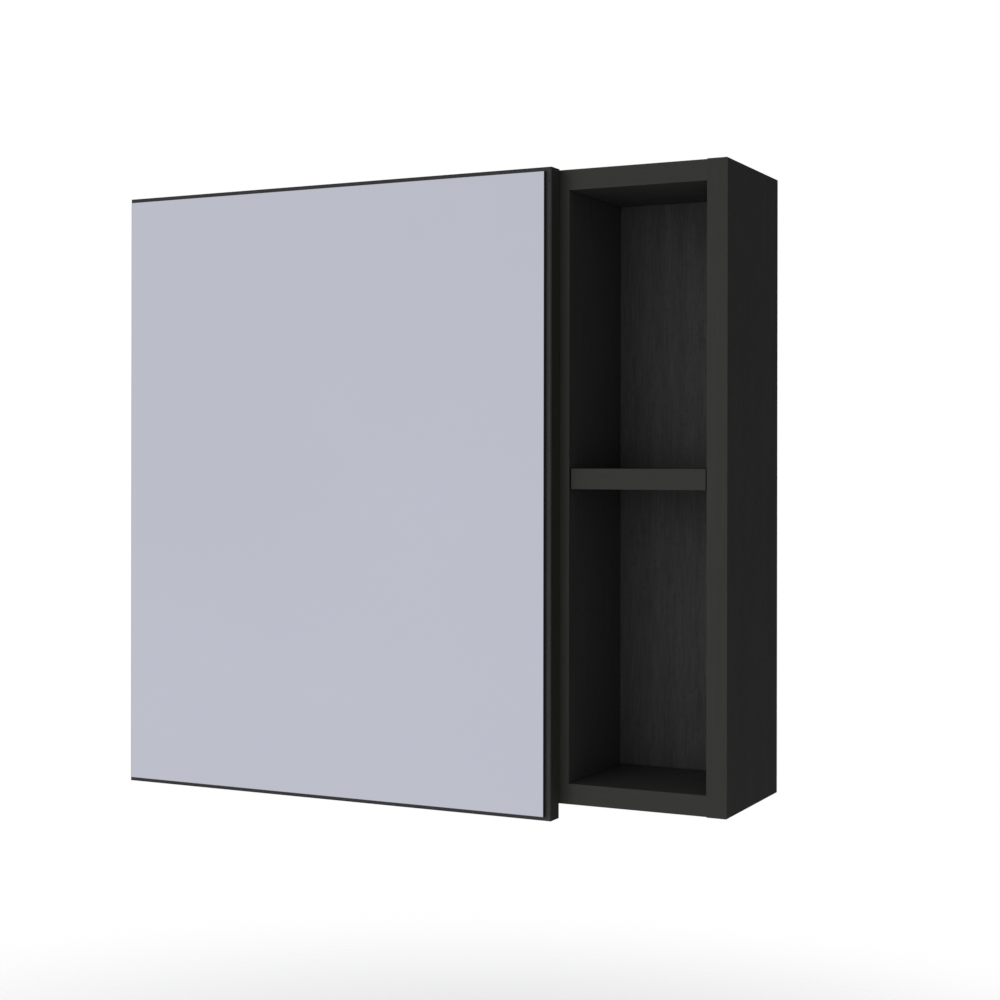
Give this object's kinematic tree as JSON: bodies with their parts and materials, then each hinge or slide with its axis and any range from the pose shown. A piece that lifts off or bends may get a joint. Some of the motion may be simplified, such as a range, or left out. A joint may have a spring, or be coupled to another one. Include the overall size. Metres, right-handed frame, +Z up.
{
  "type": "medicine cabinet with mirror",
  "caption": "Shallow wall cabinet in dark board: a frameless mirror door hinged at the left closes the main bay, an open bay with a shelf stands at the right.",
  "frame": {"origin": "middle of the upper hanging rail's rear face on the wall, at the height of the wall screws", "axes": "+X right as seen from the front, +Y back into the wall, +Z up"},
  "size_m": [0.5022, 0.1397, 0.4724],
  "materials": {
    "dark_board": "black-brown melamine foil with a fine upright grain",
    "edge_band": "black-brown plastic edge band",
    "mirror": "silvered float glass with ground edges",
    "tape": "double-sided film",
    "nickel": "nickel plated",
    "black_steel": "black lacquered steel",
    "zinc": "die-cast zinc",
    "black_plastic": "moulded plastic",
    "beech": "fluted beech",
    "clear_rubber": "soft clear bumper",
    "ferrite": "sintered ferrite"
  },
  "bodies": {
    "carcass": {"side_panel_left": "dark_board", "side_panel_right": "dark_board", "top_panel": "dark_board", "bottom_panel": "dark_board", "divider": "dark_board", "back_panel": "dark_board", "hanging_rail_top": "dark_board", "hanging_rail_bottom": "dark_board", "open_shelf": "dark_board", "inner_shelf_lower": "dark_board", "inner_shelf_upper": "dark_board", "front_bands_sides": "edge_band", "front_bands_top_bottom": "edge_band", "front_band_divider": "edge_band", "open_shelf_band": "edge_band", "inner_shelf_bands": "edge_band", "shelf_pins_inner": "nickel", "shelf_pins_open": "nickel", "cam_locks": "zinc", "cam_bolts": "nickel", "cam_caps": "black_plastic", "wood_dowels": "beech", "divider_screws": "black_steel", "hinge_leaves_carcass": "black_steel", "hinge_pins": "nickel", "hinge_screws_carcass": "nickel", "catch_housing": "black_plastic", "catch_magnet": "ferrite", "catch_poles": "nickel", "catch_screws": "nickel"},
    "door": {"door_panel": "dark_board", "door_bands_sides": "edge_band", "door_bands_ends": "edge_band", "mirror_glass": "mirror", "mirror_tape": "tape", "door_bumpers": "clear_rubber", "hinge_leaves_door": "black_steel", "hinge_screws_door": "nickel", "strike_plate": "nickel", "strike_screws": "nickel"}
  },
  "joints": [
    {"name": "door_swing", "type": "hinge", "parent": "carcass", "child": "door", "pos_m": [-0.2512, -0.12075, 0], "axis": [0, 0, -1], "range_deg": [0, 180]}
  ]
}
